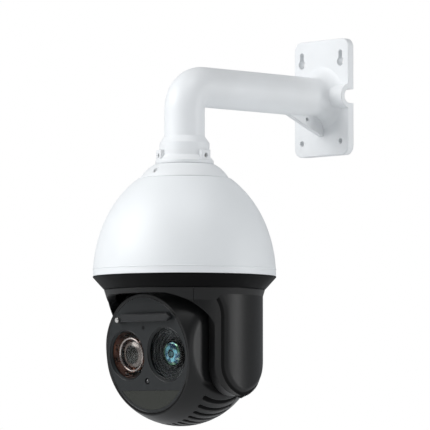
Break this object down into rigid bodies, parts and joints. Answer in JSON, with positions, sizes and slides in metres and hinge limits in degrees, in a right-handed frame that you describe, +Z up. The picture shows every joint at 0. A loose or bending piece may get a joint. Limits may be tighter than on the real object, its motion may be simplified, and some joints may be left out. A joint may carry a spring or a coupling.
{
  "type": "ptz camera",
  "caption": "Pan-tilt-zoom dome camera hung from a cast wall arm, with a tilting ball, infrared lamp, zoom lens and wiper.",
  "frame": {"origin": "centre of the wall plate's back face, on the arm's axis", "axes": "+Z up, -Y out from the wall along the arm and where the camera looks, +X to the right seen from the wall's back looking at +Y"},
  "size_m": [0.2304, 0.3712, 0.5045],
  "materials": {
    "white_cast": "fine-textured powder coat",
    "white_shell": "smooth satin moulding",
    "black_shell": "satin black",
    "face_black": "smooth satin black",
    "inner_black": "matte black",
    "rubber_black": "matte",
    "wiper_plastic": "satin black",
    "steel": "zinc plated",
    "cast_aluminium": "as cast",
    "pulley_aluminium": "machined",
    "motor_black": "painted can",
    "board_green": "solder mask",
    "window_glass": "clear, coated",
    "lens_glass": "coated lens",
    "dark_window": "infrared-pass panel",
    "lamp_copper": "warm metallised reflector",
    "emitter": "lamp chip on its board",
    "sensor_lens": "dark lens"
  },
  "bodies": {
    "mount": {"wall_bracket": "white_cast", "bracket_set_screws": "steel", "neck_adapter": "cast_aluminium", "neck_cap": "white_cast", "cap_screws": "steel", "sunshield": "white_shell", "inner_housing": "cast_aluminium", "trim_ring": "black_shell", "base_frame": "cast_aluminium", "pan_bearing": "steel", "pan_motor": "motor_black", "pan_belt": "rubber_black", "board_standoffs": "cast_aluminium", "main_board": "board_green", "power_board": "board_green", "slip_ring_stator": "motor_black"},
    "pan_motor_shaft": {"pan_motor_pulley": "pulley_aluminium"},
    "yoke": {"turntable": "cast_aluminium", "pan_pulley": "pulley_aluminium", "slip_ring_rotor": "motor_black", "front_arch": "black_shell", "rear_shell": "black_shell", "right_arm_shell": "black_shell", "right_side_cover": "black_shell", "right_arm_bracket": "cast_aluminium", "left_arm_shell": "black_shell", "left_side_cover": "black_shell", "left_arm_bracket": "cast_aluminium", "tilt_bearings": "steel", "tilt_motor": "motor_black", "tilt_belt": "rubber_black", "yoke_board": "board_green", "yoke_screws": "steel"},
    "tilt_motor_shaft": {"tilt_motor_pulley": "pulley_aluminium"},
    "camera_ball": {"module_front": "black_shell", "module_rear": "black_shell", "module_gasket": "rubber_black", "face_plate": "face_black", "lower_window": "dark_window", "light_sensor": "sensor_lens", "face_screw": "steel", "lens_window": "window_glass", "lamp_window": "window_glass", "lens_hood": "face_black", "front_element": "lens_glass", "lens_barrel": "inner_black", "sensor_board": "board_green", "image_board": "board_green", "lamp_reflector": "lamp_copper", "lamp_lens": "lens_glass", "lamp_tube": "inner_black", "lamp_emitter": "emitter", "wiper_motor": "motor_black", "tilt_trunnions": "steel", "tilt_pulley": "pulley_aluminium"},
    "wiper": {"wiper_arm": "wiper_plastic", "wiper_blade": "rubber_black", "wiper_nut": "steel"},
    "zoom_cell": {"zoom_group": "inner_black"},
    "focus_cell": {"focus_group": "inner_black"}
  },
  "joints": [
    {"name": "pan", "type": "hinge", "parent": "mount", "child": "yoke", "pos_m": [0, -0.256, -0.333], "axis": [0, 0, 1], "continuous": true},
    {"name": "tilt", "type": "hinge", "parent": "yoke", "child": "camera_ball", "pos_m": [0, -0.262, -0.333], "axis": [1, 0, 0], "range_deg": [-22, 83]},
    {"name": "wiper_sweep", "type": "hinge", "parent": "camera_ball", "child": "wiper", "pos_m": [-0.041, -0.32902, -0.29589], "axis": [0, 0.9925, 0.1219], "range_deg": [0, 88]},
    {"name": "zoom", "type": "slide", "parent": "camera_ball", "child": "zoom_cell", "axis": [0, 0.9925, 0.1219], "range_m": [-0.006, 0.01]},
    {"name": "focus", "type": "slide", "parent": "camera_ball", "child": "focus_cell", "axis": [0, 0.9925, 0.1219], "range_m": [-0.002, 0.006]},
    {"name": "pan_motor_turn", "type": "hinge", "parent": "mount", "child": "pan_motor_shaft", "pos_m": [0, -0.196, -0.22], "axis": [0, 0, 1], "continuous": true},
    {"name": "tilt_motor_turn", "type": "hinge", "parent": "yoke", "child": "tilt_motor_shaft", "pos_m": [0.085, -0.232, -0.251], "axis": [1, 0, 0], "range_deg": [-57, 209.5]}
  ],
  "couplings": [
    {"joint": "pan_motor_turn", "follows": "pan", "ratio": 5},
    {"joint": "tilt_motor_turn", "follows": "tilt", "ratio": 2.5}
  ]
}
